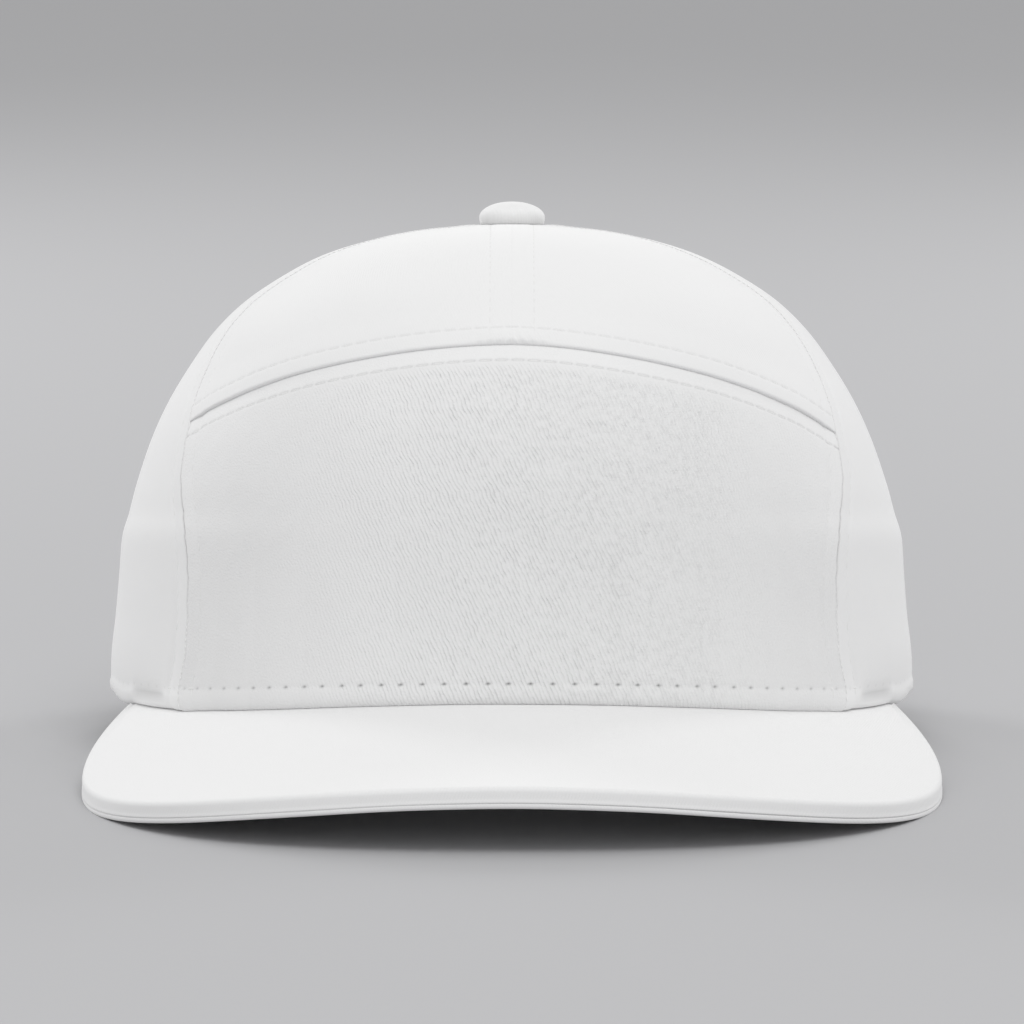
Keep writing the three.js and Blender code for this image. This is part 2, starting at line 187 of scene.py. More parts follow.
def crown_point(turn, level):
    """Points of the smooth crown in the cap's frame, in millimetres."""
    angle = np.radians(turn)
    share = sections_at(level)
    length = np.where(np.cos(angle) > 0, CROWN_FRONT * share[..., 2], CROWN_BACK * share[..., 3])
    x = CROWN_BREADTH / 2 * share[..., 1] * np.sin(angle)
    return np.stack([x, -length * np.cos(angle), CROWN_RISE * share[..., 0]], axis=-1)


def crown_normal(turn, level):
    """Outward normals of the smooth crown, from points a small step to both sides."""
    turn_step, level_step = 0.5, 0.002
    along = crown_point(turn + turn_step, level) - crown_point(turn - turn_step, level)
    higher, lower = (np.clip(level + step, 0, 1) for step in (level_step, -level_step))
    up = crown_point(turn, higher) - crown_point(turn, lower)
    normal = np.cross(along, up)
    return normal / np.linalg.norm(normal, axis=-1, keepdims=True)


print("crown", CROWN_BREADTH, "by", CROWN_FRONT + CROWN_BACK, "by", CROWN_RISE, "mm")

# %% [markdown]
# The peak is a board that is bent over its length and dips to the front. The crown's hem stands on it, so
# the board's surface also gives the height of the hem in front.

# %% The peak's surface and outline, and the hem that stands on it
PEAK_BREADTH = 177.0
PEAK_LENGTH = 70.0
PEAK_WIDEST = 84.0
PEAK_DIP = 12.3
PEAK_SQUARENESS = 2.24
PEAK_BOW_AT_CROWN = 18.4
PEAK_BOW_AT_FRONT = 15.4
PEAK_TIP_TURN = 68.5
PEAK_TIP_MARGIN = 1.3
PEAK_SEAT = 0.8
PEAK_UPPER_WALL = 2.3
PEAK_UNDER_WALL = 1.2
PANEL_WALL = 1.8
HEM_FADE = 0.16
HEM_SEAT = 0.06
HEM_RETURN_TURN = 15
ROUND_SHARE = 0.74
tip_y = CROWN_FRONT * math.cos(math.radians(PEAK_TIP_TURN))


def peak_top(x, y):
    """Height of the board's upper side: it dips to the front and bows down to both sides."""
    front = CROWN_FRONT + PEAK_LENGTH
    forward = np.clip((-y - tip_y) / (front - tip_y), 0, 1)
    bow = PEAK_BOW_AT_CROWN + (PEAK_BOW_AT_FRONT - PEAK_BOW_AT_CROWN) * forward
    dip = (-y - CROWN_FRONT) * math.tan(math.radians(PEAK_DIP))
    return -PEAK_SEAT - dip - bow * (2 * x / PEAK_BREADTH) ** 2


def peak_outline(share):
    """The outline in plan from its middle, 0, to its tip, 1, on the +X side."""
    angle = np.pi / 2 * np.clip(share / ROUND_SHARE, 0, 1)
    power = 2 / PEAK_SQUARENESS
    reach = CROWN_FRONT + PEAK_LENGTH - PEAK_WIDEST
    cosine = np.maximum(np.cos(angle), 0)
    front_x, front_y = PEAK_BREADTH / 2 * np.sin(angle) ** power, -PEAK_WIDEST - reach * cosine**power
    front = np.stack([front_x, front_y], -1)
    back = np.clip((share - ROUND_SHARE) / (1 - ROUND_SHARE), 0, 1)
    tip_x = CROWN_BREADTH / 2 * math.sin(math.radians(PEAK_TIP_TURN)) + PEAK_TIP_MARGIN
    side_x = PEAK_BREADTH / 2 - (PEAK_BREADTH / 2 - tip_x) * back**2
    side = np.stack([side_x, -(PEAK_WIDEST + (tip_y - PEAK_WIDEST) * back)], -1)
    return np.where((share < ROUND_SHARE)[..., None], front, side)


def hem_height(turn, x, y):
    """How high the hem stands on the peak. Beyond the tips it comes down to the rim."""
    away = np.clip((np.abs(turn) - PEAK_TIP_TURN) / HEM_RETURN_TURN, 0, 1)
    on_peak = 1 - away**2 * (3 - 2 * away)
    return on_peak * (peak_top(x, np.minimum(y, -tip_y)) + HEM_SEAT)


def to_table(points):
    """Points of the cap's frame, in millimetres, as points on the table in metres. Cloth stops there."""
    world = points @ (np.array(cap_matrix.to_3x3()).T * MM) + np.array(cap_matrix.translation)
    world[..., 2] = np.maximum(world[..., 2], 0)
    return world


def cloth_point(turn, level, out):
    """Points of the crown's cloth, raised out of the smooth crown by a height."""
    points = crown_point(turn, level) + crown_normal(turn, level) * np.asarray(out)[..., None]
    fade = np.clip(1 - level / HEM_FADE, 0, 1) ** 2
    points[..., 2] += fade * hem_height(turn, points[..., 0], points[..., 1])
    return points


print("peak", PEAK_BREADTH, "wide and", PEAK_LENGTH, "mm long")

# %% [markdown]
# Cotton cloth is woven, and a twill shows fine diagonal ribs. The ribs follow the cloth, not the room, so
# every piece carries a UV map in millimetres, and the material turns it into ribs and single floats of
# yarn. A colour attribute holds two more things in its channels: a tone, which is painted shade in needle
# holes, grooves and the bottoms of seams, painted light and shade across some panels, and a little pressed
# cloth, and the strength of the ribs, which pressing and stitching flatten. The rest is a rough, slightly
# fuzzy surface.

# %% Cloth material
CLOTH_SURFACE = {"Roughness": 0.88, "Specular IOR Level": 0.25, "Sheen Weight": 0.3, "Sheen Roughness": 0.3}
RIB_ANGLE = 66
YARN_PITCH = 0.72  # of the ribs' pitch
WANDER_REACH = 0.9  # of the ribs' pitch
FINE_RIB = 0.15  # of the rib that it lies on
RIB_HEIGHT = 0.3
FLOAT_HEIGHT = 0.06
FUZZ_HEIGHT = 0.5
PATCH_BASE = 0.5
BREAK_CONTRAST = 2.4
BREAK_BASE = -0.3
CLOTH_NOISE = {  # scale, detail
    "wander": (0.5, 2),
    "fuzz": (2.2, 3),
    "patches": (0.16, 3),
    "breaks": (0.7, 1),
    "mottle": (0.06, 4),
}


def set_inputs(node, values):
    for name, value in values.items():
        node.inputs[name].default_value = value


def new_material(name, values):
    """A new material, and its shader with some values."""
    material = bpy.data.materials.new(name)
    material.use_nodes = True
    shader = material.node_tree.nodes["Principled BSDF"]
    set_inputs(shader, values)
    return material, shader


def math_node(tree, operation, first, second=None):
    node = tree.nodes.new("ShaderNodeMath")
    node.operation = operation
    for socket, value in zip(node.inputs, (first, second)):
        if isinstance(value, bpy.types.NodeSocket):
            tree.links.new(value, socket)
        elif value is not None:
            socket.default_value = value
    return node.outputs[0]


def noise_node(tree, place, scale, detail):
    node = tree.nodes.new("ShaderNodeTexNoise")
    set_inputs(node, {"Scale": scale, "Detail": detail})
    tree.links.new(place, node.inputs["Vector"])
    return node.outputs["Fac"]


def first_two(tree, kind, source):
    """The first two parts of a place or a colour."""
    node = tree.nodes.new(kind)
    tree.links.new(source, node.inputs[0])
    return node.outputs[0], node.outputs[1]


def mixed_colour(tree, share, dark, pale):
    """A colour between two, by a share from 0 to 1."""
    mix = tree.nodes.new("ShaderNodeMix")
    mix.data_type = "RGBA"
    set_inputs(mix, {"A": (*dark, 1), "B": (*pale, 1)})
    tree.links.new(share, mix.inputs["Factor"])
    return mix.outputs["Result"]


def cloth(name, colour, rib_pitch, relief, variation=0.02):
    """A woven cloth: rib_pitch is the distance between ribs in mm, relief the height of the bump in mm."""
    material, shader = new_material(name, CLOTH_SURFACE)
    tree = material.node_tree
    add, times, wave = (partial(math_node, tree, kind) for kind in ("ADD", "MULTIPLY", "SINE"))

    weave = tree.nodes.new("ShaderNodeUVMap")
    weave.uv_map = "weave"
    across, up = first_two(tree, "ShaderNodeSeparateXYZ", weave.outputs[0])
    noise = {part: noise_node(tree, weave.outputs[0], *sizes) for part, sizes in CLOTH_NOISE.items()}
    shade = tree.nodes.new("ShaderNodeVertexColor")
    shade.layer_name = "shade"
    painted_shade_and_tone, strength = first_two(tree, "ShaderNodeSeparateColor", shade.outputs[0])

    # The ribs run along one slant and the floats of yarn along the other, staggered from rib to rib.
    sine, cosine = math.sin(math.radians(RIB_ANGLE)), math.cos(math.radians(RIB_ANGLE))
    slant = add(times(across, sine / rib_pitch), times(up, cosine / rib_pitch))
    slant = add(slant, times(noise["wander"], WANDER_REACH))
    yarn_pitch = rib_pitch * YARN_PITCH
    lengthwise, crosswise = times(up, sine / yarn_pitch), times(across, cosine / yarn_pitch)
    along = math_node(tree, "SUBTRACT", lengthwise, crosswise)
    along = add(along, times(math_node(tree, "FLOOR", slant), 0.5))

    # Both fade out in patches and are broken along their length.
    unbroken = math_node(tree, "MAXIMUM", add(times(noise["breaks"], BREAK_CONTRAST), BREAK_BASE), 0.0)
    clear = times(times(strength, add(noise["patches"], PATCH_BASE)), unbroken)
    fine = times(wave(times(slant, 4 * math.pi)), FINE_RIB)
    rib = times(add(wave(times(slant, 2 * math.pi)), fine), clear)
    floats = times(wave(times(along, 2 * math.pi)), clear)
    height = add(times(rib, RIB_HEIGHT), times(floats, FLOAT_HEIGHT))
    height = add(height, times(noise["fuzz"], FUZZ_HEIGHT))
    bump = tree.nodes.new("ShaderNodeBump")
    set_inputs(bump, {"Distance": relief * MM, "Strength": 1})
    tree.links.new(height, bump.inputs["Height"])
    tree.links.new(bump.outputs[0], shader.inputs["Normal"])

    # Painted highlight and shade on the ribs: the tone is lighter on the ribs' crests and darker between
    # them. The mottle is the cloth's own uneven tone.
    tone = add(times(noise["mottle"], variation), times(rib, variation / 2))
    tone = times(add(tone, 1 - variation / 2), painted_shade_and_tone)
    tree.links.new(mixed_colour(tree, tone, (0, 0, 0), colour), shader.inputs["Base Color"])
    return material


CLOTHS = {
    "front_twill": cloth("twill", (0.88, 0.88, 0.88), 0.82, 0.22, variation=0.04),
    "crown_cloth": cloth("crown_weave", (0.875, 0.875, 0.875), 0.62, 0.02),
    "button_cloth": cloth("button_weave", (0.87, 0.87, 0.87), 0.62, 0.03),
    # The peak's colour is set lower than the crown's as painted shade, against the stronger light on its
    # upward face.
    "peak_cloth": cloth("peak_weave", (0.85, 0.85, 0.85), 0.62, 0.02),
    "strap_cloth": cloth("strap_weave", (0.84, 0.84, 0.83), 1.4, 0.16),
    "band_cloth": cloth("band_weave", (0.8, 0.8, 0.79), 0.8, 0.08),
}
print("cloths", list(CLOTHS))

# %% [markdown]
# Sewing leaves its marks in the surface. An edge rolls under in a quarter round. A row of stitches pulls the
# cloth into a shallow groove, with a deeper prick at each needle hole. Each mark is a height out of the
# smooth crown, so a panel adds up the ones that it has. The needle holes are put on columns of the grid,
# because a hole between two columns would look different from its neighbours.

# %% Marks that sewing leaves
WAVES = ((95, 0.2), (80, 0.16), (62, 0.1), (48, 0.07), (37, 0.05), (29, 0.04))  # length, height
BUTTON_SWELL = {"reach": 3, "middle": 10.6, "height": 0.25}
HOLE_LENGTH = 0.42
HOLE_WIDTH = 0.22
rng = np.random.default_rng(7)
SOFT_WAVES = [
    (rng.normal(size=3) * 3.6 / wave, rng.uniform(0, 2 * np.pi), height) for wave, height in WAVES
]


def hump(distance, reach, middle=0, height=1):
    """A soft hump: its height in the middle, and less beside it."""
    return height * np.exp(-(((distance - middle) / reach) ** 2))


def falling(distance, reach):
    """1 at an edge, falling evenly to 0 at a distance from it."""
    return np.clip(1 - distance / reach, 0, 1)


def softness(points):
    """The slow unevenness of a cloth wall, the same on both sides of a seam. Near the button there is none of
    it, but a low swell round the button, where all the seams run together."""
    total = np.zeros(points.shape[:-1])
    for direction, phase, height in SOFT_WAVES:
        total += height * np.sin(points @ direction + phase)
    reach = np.hypot(points[..., 0], points[..., 1])
    swell = hump(reach, **BUTTON_SWELL) * (points[..., 2] > CROWN_RISE / 2)
    return total * np.clip(reach / 35 - 0.2, 0, 1) + swell


def rolled_edge(distance, radius):
    """How far a rounded edge lies below the surface at a distance from it."""
    return -radius * (1 - np.sqrt(1 - falling(distance, radius) ** 2))


def needle_columns(along, pitch):
    """The columns of a grid where the needle went through, nearest to an even pitch."""
    wanted = np.arange(pitch / 2, along[-1], pitch)
    return np.abs(along[:, None] - wanted).argmin(axis=0)


def even_places(along, pitch):
    """Places between the columns at an even pitch, for stitches that leave no hole."""
    return np.interp(np.arange(pitch / 2, along[-1], pitch), along, np.arange(len(along)))


def pricks(away, along, holes):
    """1 at the needle holes of a row, which lie in some of the grid's columns, and 0 elsewhere."""
    nearest = np.abs(along[:, :, None] - along[:, None, holes]).min(axis=-1)
    return np.exp(-((nearest / HOLE_LENGTH) ** 2) - (away / HOLE_WIDTH) ** 2)


print("softness up to", sum(height for _, _, height in SOFT_WAVES), "mm")

# %% [markdown]
# A panel's grid has rows at set distances from its lower and its upper edge, so that a row of stitches
# always runs along one row of the grid, and even rows between them. The distances are measured on the
# crown, because that is where the cloth lies.

# %% The grid of a panel
EDGE_STOPS = (0, 0.06, 0.18, 0.36, 0.6, 0.9, 1.3)
ROW_STOPS = np.arange(-4, 5) * 0.25
CLOSEST_TO_ROW = 0.5
CLOSEST_STOPS = 0.05


def run(points, axis):
    """Distances along the rows of a grid of points, axis 1, or up its columns, axis 0."""
    steps = np.linalg.norm(np.diff(points, axis=axis), axis=-1)
    start = np.zeros_like(np.take(steps, [0], axis=axis))
    return np.concatenate([start, np.cumsum(steps, axis=axis)], axis=axis)


def edge_stops(stitch_rows, reach, step=0.9):
    """Distances from an edge: close at the edge and round each row of stitches."""
    stops = list(EDGE_STOPS)
    for row in stitch_rows:
        stops += list(row + ROW_STOPS)
    even = np.arange(EDGE_STOPS[-1], reach, step)
    stops += [stop for stop in even if min(abs(stop - np.array(stops))) > CLOSEST_TO_ROW]
    stops = sorted(stops)
    return np.array([stops[0]] + [b for a, b in zip(stops, stops[1:]) if b - a > CLOSEST_STOPS])


def column_stops(length, step):
    """Shares of a length, close at both ends."""
    first = np.array(EDGE_STOPS)
    middle = np.linspace(first[-1], length - first[-1], int(length / step))[1:-1]
    return np.concatenate([first, middle, length - first[::-1]]) / length


def panel_grid(columns, turn_of, foot, head, low, high, step=1.1):
    """Turns and levels of a panel's grid. low and high are the rows' distances from its foot and its head."""
    fine_shares = np.linspace(0, 1, 181)[:, None]
    level = foot + (head - foot) * fine_shares
    path = run(crown_point(turn_of(columns, level), level), 0)
    middle = path[-1] - low[-1] - high[-1]
    count = int(middle.max() / step)
    between = low[-1] + middle * (np.arange(1, count)[:, None] / count)
    rows = np.vstack([low[:, None] + 0 * middle, between, path[-1] - high[::-1, None]])
    levels = [np.interp(rows[:, i], path[:, i], level[:, i]) for i in range(len(columns))]
    levels = np.stack(levels, axis=1)
    return turn_of(columns, levels), levels


print("closest rows", np.diff(EDGE_STOPS).min().round(3), "mm apart")

# %% [markdown]
# Every piece of cloth starts as a flat grid, as cloth itself does, and the grid's points are moved to their
# places. A second grid is the inside of the wall, and the open edges of the two are bridged. The weave's UV
# map and the shade attribute are written while each point still knows its row and column.

# %% From a grid to a wall of cloth
SHARP_ANGLE = 60


def grid_skin(bm, points):
    """A grid of faces through points[row, column], made flat and then moved onto them."""
    rows, columns = points.shape[:2]
    made = bmesh.ops.create_grid(bm, x_segments=columns - 1, y_segments=rows - 1, size=1)["verts"]
    flat = np.array([vert.co for vert in made])
    column = np.rint((flat[:, 0] + 1) / 2 * (columns - 1)).astype(int)
    row = np.rint((flat[:, 1] + 1) / 2 * (rows - 1)).astype(int)
    for vert, place in zip(made, points[row, column]):
        vert.co = place
    return made, row, column


def paint(bm, skins, weave, shade, strength):
    """Writes the weave's UV map, in mm, and the shade attribute from grids of values."""
    uv = bm.loops.layers.uv.new("weave")
    colour = bm.loops.layers.color.new("shade")
    values = {}
    for made, row, column in skins:
        values.update(zip(made, np.dstack([weave, shade, strength])[row, column]))
    for face in bm.faces:
        for loop in face.loops:
            across, up, tone, ribs = values[loop.vert]
            loop[uv].uv = (across, up)
            loop[colour] = (tone, ribs, 0, 1)


def mesh_from(bm, name):
    mesh = bpy.data.meshes.new(name)
    bm.to_mesh(mesh)
    bm.free()
    return mesh


def finish_piece(bm, name, slot, node=None, material=None):
    """Makes the mesh an object that rides with the cap and stands for a node of the solid model."""
    bmesh.ops.recalc_face_normals(bm, faces=bm.faces)
    mesh = mesh_from(bm, name)
    mesh.polygons.foreach_set("use_smooth", [True] * len(mesh.polygons))
    mesh.set_sharp_from_angle(angle=math.radians(SHARP_ANGLE))
    mesh.materials.append(material or CLOTHS[slot])
    piece = new_object(name, mesh)
    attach(piece, "root")
    if node:
        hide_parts(node)
    print(f"{name}: {len(mesh.polygons)} faces")
    return piece


def cloth_wall(name, node, outer, inner, weave, shade, slot, strength=1):
    """A wall of cloth between two grids of points in the cap's frame."""
    bm = bmesh.new()
    skins = [grid_skin(bm, to_table(outer)), grid_skin(bm, to_table(inner))]
    bmesh.ops.bridge_loops(bm, edges=[edge for edge in bm.edges if edge.is_boundary])
    paint(bm, skins, weave, np.clip(shade, 0, 1), strength + 0 * shade)
    return finish_piece(bm, name, slot, node)


print("cloth pieces are ready to be made")

# %% [markdown]
# The thread itself lies flush between its holes. Each stitch is one small ellipsoid with few faces, since
# there are hundreds, laid along the row that the panel gives.

# %% Thread
THREAD_WIDTH = 0.42
THREAD_HEIGHT = 0.34
STITCH_FILL = 0.84  # of the way from hole to hole
stitch_form = bmesh.new()
bmesh.ops.create_uvsphere(stitch_form, u_segments=6, v_segments=5, radius=0.5)
bmesh.ops.rotate(stitch_form, verts=stitch_form.verts, matrix=Matrix.Rotation(math.pi / 2, 3, "Y"))
stitch_mesh = mesh_from(stitch_form, "stitch")
thread_meshes = {}


def row_points(values, distance, offset):
    """In each column of a grid, the value at an offset from the edge that the distances are taken from."""
    if distance[0, 0] > distance[-1, 0]:
        values, distance = values[::-1], distance[::-1]
    columns = zip(distance.T, values.transpose(1, 2, 0))
    return np.array([[np.interp(offset, away, part) for part in parts] for away, parts in columns])


def between(rows, at):
    """A point or a direction part of the way between two rows of a table."""
    return Vector([np.interp(at, np.arange(len(rows)), rows[:, k]) for k in range(3)])


def sew(group, path, normals, holes, fill=STITCH_FILL, sink=0.02, thick=1):
    """Lays a stitch between each two holes. path has a point, in mm, for each column of the grid."""
    if group not in thread_meshes:
        thread_meshes[group] = bmesh.new()
    bm = thread_meshes[group]
    for start, end in zip(holes, holes[1:]):
        spare = (end - start) * (1 - fill) / 2
        a, b = between(path, start + spare), between(path, end - spare)
        out = between(normals, (start + end) / 2).normalized()
        forward = (b - a).normalized()
        side = out.cross(forward).normalized()
        turned = Matrix((forward, side, forward.cross(side))).transposed().to_4x4()
        size = Matrix.Diagonal(((b - a).length, THREAD_WIDTH * thick, THREAD_HEIGHT * thick, 1))
        middle = (a + b) / 2 - out * sink
        matrix = cap_matrix @ Matrix.Scale(MM, 4) @ Matrix.Translation(middle) @ turned @ size
        stitch_mesh.transform(matrix)
        bm.from_mesh(stitch_mesh)
        stitch_mesh.transform(matrix.inverted())


print("one stitch has", len(stitch_mesh.polygons), "faces")

# %% [markdown]
# Now a panel needs only its grid, its edges and its rows of stitches. Panels meet with a hair's breadth
# between them, so their rolled edges, with a little painted shade along each, make the soft line that a
# seam shows. In front, the line is firmest a third of the way up, where the cloth is drawn tight, and
# nearly gone at the hem and at the top. Behind, it is even. A thread that shows as a line of dashes gets
# painted shade in its own groove between the holes.

# %% A sewn panel
CLOTH_GAP = 0.01
FIRM_HEIGHT = 35.0
FIRM_REACH = 18.0
FIRM_LEAST = 0.04
FIRM_BEHIND = 0.45
SEAM_PAINTED_SHADE = 0.3
SEAM_PAINTED_SHADE_REACH = 0.3
DASH_WIDTH = 0.25
DASH_END = 0.5
FADE_POWER = 1.8
SEAM_ROW = 4.6
HEM_ROW = 4.1
ARCH_ROW = 4.0
CROWN_PROFILE = run(crown_point(np.zeros_like(fine_levels), fine_levels)[:, None], 0)[:, 0]


def gap_turn(turn, level):
    """The turn that half the gap between two panels takes up."""
    point = crown_point(turn, level)
    return np.degrees(CLOTH_GAP / 2 / np.hypot(point[..., 0], point[..., 1]))


def stitch_row(edge, offset, group, **more):
    """A row of stitches at an offset from an edge: near, far, foot or head. Its groove has a depth and a
    width, its holes a prick and painted shade, dark, that fade to both ends, and its dashes painted shade
    along the groove, line."""
    row = {"edge": edge, "offset": offset, "group": group, "pitch": 3.2, "depth": 0.07, "width": 0.8,
           "prick": 0, "dark": 0, "sink": 0.1, "line": 0, "thick": 1, "fill": STITCH_FILL, "fade": 0}
    return row | more


def mark_row(row, distance, out, shade):
    """Presses a row's groove and needle holes into a panel, paints shade into the holes and into the
    groove between them, and keeps where its holes are.
    """
    near, foot = distance["near"], distance["foot"]
    away = distance[row["edge"]] - row["offset"]
    lines = {"foot": near, "head": near[::-1], "near": foot.T, "far": foot.T[::-1]}
    along_row = lines[row["edge"]][0]
    if row["prick"]:
        row["holes"] = needle_columns(along_row, row["pitch"])
        hole = pricks(away, near, row["holes"])
        hole *= 1 - row["fade"] * np.abs(2 * along_row / along_row[-1] - 1) ** FADE_POWER
        out -= row["prick"] * hole
        # Painted shade in the needle holes.
        shade -= row["dark"] * hole
    else:
        row["holes"] = even_places(along_row, row["pitch"])
    pulled = 1
    if row["line"]:
        places = np.interp(row["holes"], np.arange(len(along_row)), along_row)
        to_hole = np.abs(along_row[:, None] - places).min(axis=1)
        pulled = np.clip(to_hole / DASH_END - 0.2, 0, 1)
        # Painted shade in the groove between the holes.
        shade -= row["line"] * pulled * hump(away, DASH_WIDTH)
    out -= row["depth"] * pulled * hump(away, row["width"])


def sew_row(row, distance, outer, normal):
    """Sews a row of stitches along its groove."""
    grids = [outer, normal, distance[row["edge"]][..., None]]
    if row["edge"] in ("near", "far"):
        grids = [grid.transpose(1, 0, 2) for grid in grids]
    path, normals = (row_points(grid, grids[2][..., 0], row["offset"]) for grid in grids[:2])
    sew(row["group"], path, normals, row["holes"], row["fill"], row["sink"], row["thick"])


def sewn_panel(name, side, turn, level, edges, rows, slot, shape=None, ribs=None, tone=None):
    """A panel of the crown on the +X side, 1, or the -X side, -1. edges gives the radius of each edge. shape,
    ribs and tone give the height, the strength of the ribs and the tone, mostly painted light and shade,
    that only this panel has."""
    turn = side * turn
    base = crown_point(turn, level)
    near, foot = run(base, 1), run(base, 0)
    distance = {"near": near, "far": near[:, -1:] - near, "foot": foot, "head": foot[-1:] - foot}
    out = softness(base)
    shade = tone(distance) if tone else np.ones_like(out)
    if shape:
        out += shape(distance)
    drawn = hump(base[..., 2], FIRM_REACH, FIRM_HEIGHT)
    firm = np.where(np.abs(turn) < 90, FIRM_LEAST + (1 - FIRM_LEAST) * drawn, FIRM_BEHIND)
    for edge, radius in edges.items():
        radius = radius * (firm if edge in ("near", "far") else 1)
        out += rolled_edge(distance[edge], radius)
        # Painted shade along the rolled edge darkens the seam's line.
        shade -= SEAM_PAINTED_SHADE * radius * hump(distance[edge], SEAM_PAINTED_SHADE_REACH)
    for row in rows:
        mark_row(row, distance, out, shade)
    outer = cloth_point(turn, level, out)
    inner = cloth_point(turn, level, np.full_like(out, -PANEL_WALL))
    for row in rows:
        sew_row(row, distance, outer, crown_normal(turn, level))
    up = np.interp(level, fine_levels, CROWN_PROFILE)
    weave = np.stack([side * (near - near[:, -1:] / 2), up], axis=-1)
    strength = ribs(distance) if ribs else 1
    cloth_wall(f"{name}_cloth", name, outer, inner, weave, shade, slot, strength)


print("crown profile", round(CROWN_PROFILE[-1]), "mm from rim to button")

# %% [markdown]
# The arch is the cap's main line. The front panel ends in it, under the rolled lip of the two upper panels.
# The front panel is the only one whose twill shows clearly, so it gets the coarser cloth. The twill is worn
# unevenly, so its strength follows a short table across the panel. Its colour carries painted light: a
# little darker down the panel and in its middle, and palest in the margin under the arch, which is partly
# pressed by an iron and partly painted light.

# %% Front panel
ARCH_TOP = 73.5
ARCH_END = 56.6
ARCH_LEAN = 1.2
ARCH_ROUNDNESS = 1.7
GAP_LEVEL = 0.0001
MARGIN_LEAN = 0.3
HEM_SWELL = {"reach": 1.3, "middle": 2.2, "height": 0.18}
HEM_ROLL, HEM_ROLL_REACH = 0.75, 1.7
SEAM_RIDGE = {"reach": 2.4, "height": 0.14}
HEM_END_HEIGHT, HEM_END_REACH = 0.5, 4
# Painted light down and across the front panel; the margin's share is partly pressed cloth.
FRONT_PRESSING_AND_PAINTED_LIGHT = {"down": 0.965, "up": 0.022, "up_reach": 40, "sides": 0.018, "margin": 0.013}
RIBS_ACROSS = (  # share of the way from left to right, strength
    (0, 0.12), (0.1, 0.16), (0.2, 0.35), (0.3, 0.7), (0.4, 0.9), (0.5, 1),
    (0.64, 1), (0.75, 0.9), (0.86, 0.5), (0.94, 0.2), (1, 0.12),
)
PRESSED = {"strength": 0.1, "from_arch": 3.5, "reach": 3}


def arch_level(share):
    """The level of the arch seam, from the left side, -1, to the right side, 1. It leans a little."""
    drop = (ARCH_TOP - ARCH_END) * np.abs(share) ** ARCH_ROUNDNESS
    return level_at(ARCH_TOP - drop - ARCH_LEAN * share)


def front_turn(columns, level):
    seam = seam_turn(level)
    return (2 * columns - 1) * (seam - gap_turn(seam, level))


def hem_band(distance):
    """The turned-up hem is thicker below its row of stitches, and its lower edge rolls in."""
    foot = distance["foot"]
    return hump(foot, **HEM_SWELL) - HEM_ROLL * falling(foot, HEM_ROLL_REACH) ** 2


def seam_ridge(from_seam, foot, reach):
    """The turned seam allowance makes a low ridge. Where it runs into the hem, it makes the hem thicker."""
    hem_end = np.exp(-(np.abs(from_seam / reach) ** 3) - (foot / HEM_END_REACH) ** 2)
    return hump(from_seam, **SEAM_RIDGE) + HEM_END_HEIGHT * hem_end


def front_shape(distance):
    """The hem, its thick ends, and the margin above the arch row, which leans in under the lip."""
    from_seam = np.minimum(distance["near"], distance["far"])
    ridge = seam_ridge(from_seam, distance["foot"], 7)
    return hem_band(distance) + ridge - MARGIN_LEAN * falling(distance["head"], ARCH_ROW)


def share_across(distance):
    return distance["near"] / (distance["near"] + distance["far"])


def front_pressing_and_painted_light(distance):
    """Painted light: the cloth is a little darker down the panel and in its middle, and palest in the
    margin under the arch, which is partly pressed cloth and partly painted light.
    """
    head = distance["head"]
    up = FRONT_PRESSING_AND_PAINTED_LIGHT["up"] * falling(head, FRONT_PRESSING_AND_PAINTED_LIGHT["up_reach"])
    sides = FRONT_PRESSING_AND_PAINTED_LIGHT["sides"] * (2 * share_across(distance) - 1) ** 2
    margin = FRONT_PRESSING_AND_PAINTED_LIGHT["margin"] * np.clip(ARCH_ROW + 0.5 - head, 0, 1)
    return np.minimum(FRONT_PRESSING_AND_PAINTED_LIGHT["down"] + up + sides + margin, 1)


def front_ribs(distance):
    """The ribs are clearest right of the middle, fade to both sides, and are pressed flat beside the arch."""
    clear = np.interp(share_across(distance), *zip(*RIBS_ACROSS))
    away = np.clip((distance["head"] - PRESSED["from_arch"]) / PRESSED["reach"], 0, 1)
    return clear * (PRESSED["strength"] + (1 - PRESSED["strength"]) * away)


front_columns = column_stops(172, 0.41)
front_head = arch_level(2 * front_columns - 1) - GAP_LEVEL
front_turns, front_levels = panel_grid(
    front_columns, front_turn, 0 * front_head, front_head,
    edge_stops([HEM_ROW], 7), edge_stops([ARCH_ROW], 7), step=1.4,
)
side_groove = {"depth": 0.15, "width": 1.2}
crease = {"pitch": 1.2, "depth": 0, "sink": -0.1, "thick": 0.75, "fill": 0.6}
front_rows = [
    stitch_row("foot", HEM_ROW, "hem_stitches", pitch=4.45, depth=0.08, width=0.6, prick=0.3, dark=0.42,
               sink=0.08, fade=0.8),
    stitch_row("head", ARCH_ROW, "arch_stitches", pitch=3.3, depth=0.14, width=0.36, line=0.11, sink=0.17),
]
for edge in ("near", "far"):
    front_rows.append(stitch_row(edge, SEAM_ROW, "side_stitches", **side_groove))
    front_rows.append(stitch_row(edge, 0, "crease_stitches", **crease))
front_edges = {"foot": 0.08, "head": 0.15, "near": 0.46, "far": 0.46}
sewn_panel("front_panel", 1, front_turns, front_levels, front_edges, front_rows, "front_twill",
           front_shape, front_ribs, front_pressing_and_painted_light)

# %% [markdown]
# Each upper panel ends over the arch in a lip: the seam allowance is folded up behind it and stitched down
# above, so the cloth makes a firm roll. In the middle, where the seam between the two panels runs into it,
# four more layers lie inside, and the roll is thicker and lumpy.

